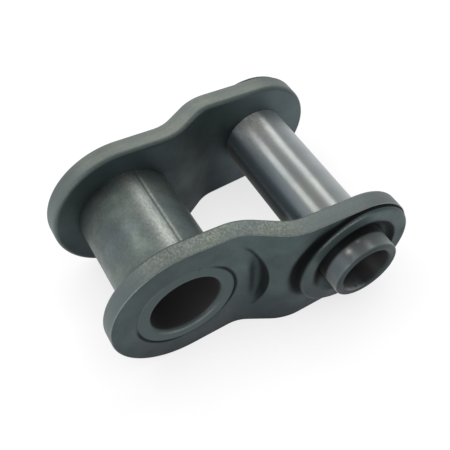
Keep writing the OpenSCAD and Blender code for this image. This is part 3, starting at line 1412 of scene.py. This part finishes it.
    def put_on(self, piece: bpy.types.Object, node: str) -> bpy.types.Object:
        """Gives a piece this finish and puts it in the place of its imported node.

        Args:
            piece: the object.
            node: name of the node that it stands for.

        Returns:
            The same object.
        """
        piece.data.materials.append(self.material())
        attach(piece, "root")
        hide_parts(node)
        LOG.info("%s stands for %s in %s", piece.name, node, self.slot)
        return piece


@dataclass(frozen=True)
class SoftBox:
    """Rectangular lamp that faces the link."""

    name: str
    direction: tuple[float, float, float]
    distance: float
    width: float
    length: float
    radiance: float

    def build(self, aim: Vector) -> bpy.types.Object:
        """Makes the lamp, with its long side turned along the link's axes as seen from the link.

        Args:
            aim: point that the lamp faces.

        Returns:
            The lamp.
        """
        data = bpy.data.lights.new(self.name, "AREA")
        data.shape = "RECTANGLE"
        data.size = self.width
        data.size_y = self.length
        data.energy = self.radiance * math.pi * self.width * self.length
        lamp = bpy.data.objects.new(self.name, data)
        back = Vector(self.direction).normalized()
        across = Vector((0, 1, 0)).cross(back).normalized()
        along = back.cross(across)
        turn = Matrix((across, along, back)).transposed().to_4x4()
        lamp.matrix_world = Matrix.Translation(aim + back * self.distance) @ turn
        bpy.context.scene.collection.objects.link(lamp)
        return lamp


@dataclass(frozen=True)
class Studio:
    """Pale floor under the link, soft light from a bright tent, and the camera."""

    sizes: LinkSizes
    floor_reach: float = 3.0
    floor_colour: Colour = (0.86, 0.86, 0.86)
    floor_seen: Colour = (0.14, 0.14, 0.14)
    floor_glow: float = 0.92
    shade_depth: float = 0.25
    shade_reach: float = 9
    sky_low: float = 0.95
    sky_high: float = 0.5
    camera_place: tuple[float, float, float] = (-16.131, -42.384, 61.823)
    azimuth: float = math.radians(-31.21)
    elevation: float = math.radians(52.19)
    roll: float = math.radians(1.6)
    lens: float = 55.06

    def floor(self) -> None:
        """Plane that both rounded ends of the plates stand on; it rises with their taper."""
        size = self.sizes
        lean = math.asin(size.taper_sin)
        mesh = bpy.data.meshes.new("floor")
        reach = np.array([-1, 1, 1, -1]) * self.floor_reach
        across = np.array([-1, -1, 1, 1]) * self.floor_reach
        height = -size.bush_end_r * MM / math.cos(lean) + reach * math.tan(lean)
        mesh.from_pydata(np.stack([reach, across, height], axis=1).tolist(), [], [(0, 1, 2, 3)])
        floor = bpy.data.objects.new("floor", mesh)
        bpy.context.scene.collection.objects.link(floor)
        mesh.materials.append(self.paper())

    def paper(self) -> bpy.types.Material:
        """White paper that glows for the rays that show it, and is darker near the link."""
        material = bpy.data.materials.new("floor_paper")
        material.use_nodes = True
        desk = NodeDesk(material.node_tree)
        seen = self.seen(desk)
        tone = desk.mix(seen, (*self.floor_colour, 1), (*self.floor_seen, 1))
        paper = desk.add("ShaderNodeBsdfDiffuse", {"Color": tone})
        open_share = desk.add("ShaderNodeAmbientOcclusion", {"Distance": self.shade_reach * MM}).outputs["AO"]
        level = desk.spread(open_share, 0, 1, self.floor_glow - self.shade_depth, self.floor_glow)
        glow = desk.add("ShaderNodeEmission", {"Strength": desk.math("MULTIPLY", seen, level)})
        both = desk.add("ShaderNodeAddShader", {0: paper.outputs[0], 1: glow.outputs[0]})
        desk.add("ShaderNodeOutputMaterial", {"Surface": both.outputs[0]})
        return material

    def seen(self, desk: NodeDesk) -> Socket:
        """One for the rays that show the background: from the camera, a gloss or through glass."""
        path = desk.add("ShaderNodeLightPath").outputs
        sharp = desk.math("MAXIMUM", path["Is Glossy Ray"], path["Is Transmission Ray"])
        return desk.math("MAXIMUM", path["Is Camera Ray"], sharp)

    def sky(self) -> None:
        """Tent that is bright at the horizon and grey above."""
        world = bpy.data.worlds.new("tent")
        bpy.context.scene.world = world
        world.use_nodes = True
        desk = NodeDesk(world.node_tree)
        way = desk.add("ShaderNodeTexCoord").outputs["Generated"]
        up = desk.add("ShaderNodeSeparateXYZ", {0: way}).outputs["Z"]
        level = desk.spread(up, 0.05, 0.7, self.sky_low, self.sky_high)
        tent = desk.add("ShaderNodeBackground", {"Color": level, "Strength": 1.0})
        desk.add("ShaderNodeOutputWorld", {"Surface": tent.outputs[0]})

    def lamps(self) -> None:
        """Two soft boxes above and behind the link, to its left and right, and one low at its left front."""
        aim = Vector((self.sizes.pitch / 2, 0, 0)) * MM
        boxes = (
            SoftBox("soft_box_right", (0.40, 0.55, 0.735), 0.40, 0.12, 0.36, 2.4),
            SoftBox("soft_box_left", (-0.42, 0.53, 0.74), 0.40, 0.12, 0.36, 1.9),
            SoftBox("soft_box_front", (-0.8, -0.5, 0.33), 0.40, 0.2, 0.2, 1.6),
        )
        for box in boxes:
            box.build(aim)
            LOG.info("%s lights the link", box.name)

    def camera(self) -> None:
        """Camera of a square picture, looking down on the link from its left front."""
        data = bpy.data.cameras.new("camera")
        data.sensor_width = 36
        data.lens = self.lens
        data.clip_start = 0.001
        camera = bpy.data.objects.new("camera", data)
        turn = Matrix.Rotation(self.azimuth, 4, "Z") @ Matrix.Rotation(QUARTER - self.elevation, 4, "X")
        place = Matrix.Translation(Vector(self.camera_place) * MM)
        camera.matrix_world = place @ turn @ Matrix.Rotation(self.roll, 4, "Z")
        bpy.context.scene.collection.objects.link(camera)
        bpy.context.scene.camera = camera

    def build(self) -> None:
        """Sets up the floor, the tent, the lamps, the camera and the plain view transform."""
        self.floor()
        self.sky()
        self.lamps()
        self.camera()
        bpy.context.scene.view_settings.view_transform = "Standard"


def finishes() -> dict[str, SteelFinish]:
    """The link's three finishes, by the record's slot.

    Returns:
        Dark oiled plates, a cloudy bushing and a ground pin.
    """
    groups = Groups(cloud_group(), grain_group())
    # In each finish the stain colour also paints shade low down, the tint colour painted light, the worn
    # colour highlights and glints, and the bore colour the bores' shade
    plate = SteelFinish(
        slot="plate_steel",
        groups=groups,
        light=(0.07, 0.1, 0.098),
        dark=(0.054, 0.077, 0.079),
        stain_and_shade=(0.013, 0.02, 0.027),
        tint=(0.128, 0.162, 0.176),
        wear_and_highlight=(0.24, 0.27, 0.26),
        bore=(0.05, 0.05, 0.05),
        end=(0.07, 0.09, 0.092),
        cloud_scale=230,
        stained=0.35,
        low=0.95,
        smoothest=0.44,
        roughest=0.56,
        grain_scale=9000,
        grain_depth=0.006,
        speckle=0.2,
        metallic=0.85,
        wear_and_highlight_rough=0.3,
    )
    bushing = SteelFinish(
        slot="bushing_steel",
        groups=groups,
        light=(0.17, 0.205, 0.185),
        dark=(0.135, 0.162, 0.152),
        stain_and_shade=(0.105, 0.13, 0.142),
        tint=(0.15, 0.18, 0.2),
        wear_and_highlight=(0.4, 0.405, 0.375),
        bore=(0.1, 0.1, 0.1),
        end=(0.066, 0.092, 0.092),
        cloud_scale=700,
        stained=0.6,
        low=0.0,
        smoothest=0.42,
        roughest=0.52,
        grain_scale=8000,
        grain_depth=0.008,
        speckle=0.35,
        metallic=0.85,
        wear_and_highlight_rough=0.33,
    )
    pin = SteelFinish(
        slot="pin_steel",
        groups=groups,
        light=(0.385, 0.4, 0.38),
        dark=(0.33, 0.35, 0.34),
        stain_and_shade=(0.28, 0.315, 0.34),
        tint=(0.29, 0.365, 0.43),
        wear_and_highlight=(0.8, 0.8, 0.76),
        bore=(0.06, 0.06, 0.062),
        end=(0.044, 0.06, 0.065),
        cloud_scale=300,
        stained=0.5,
        low=0.0,
        smoothest=0.32,
        roughest=0.36,
        grain_scale=6000,
        grain_depth=0.001,
        speckle=0.0,
        metallic=0.8,
        wear_and_highlight_rough=0.5,
        streaked=0.85,
    )
    return {finish.slot: finish for finish in (plate, bushing, pin)}


def main() -> None:
    """Builds the link piece by piece, then the studio."""
    logging.basicConfig(level=logging.INFO, format="%(message)s")
    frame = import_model()
    sizes = LinkSizes.from_frame(frame["record"])
    steel = finishes()
    CrankedPlate("front_plate", Side.FRONT, sizes).dress(steel["plate_steel"])
    CrankedPlate("rear_plate", Side.REAR, sizes).dress(steel["plate_steel"])
    CurledBushing("bushing", sizes).dress(steel["bushing_steel"])
    HollowPin("hollow_pin", sizes).dress(steel["pin_steel"])
    Studio(sizes).build()


if __name__ == "__main__":
    main()
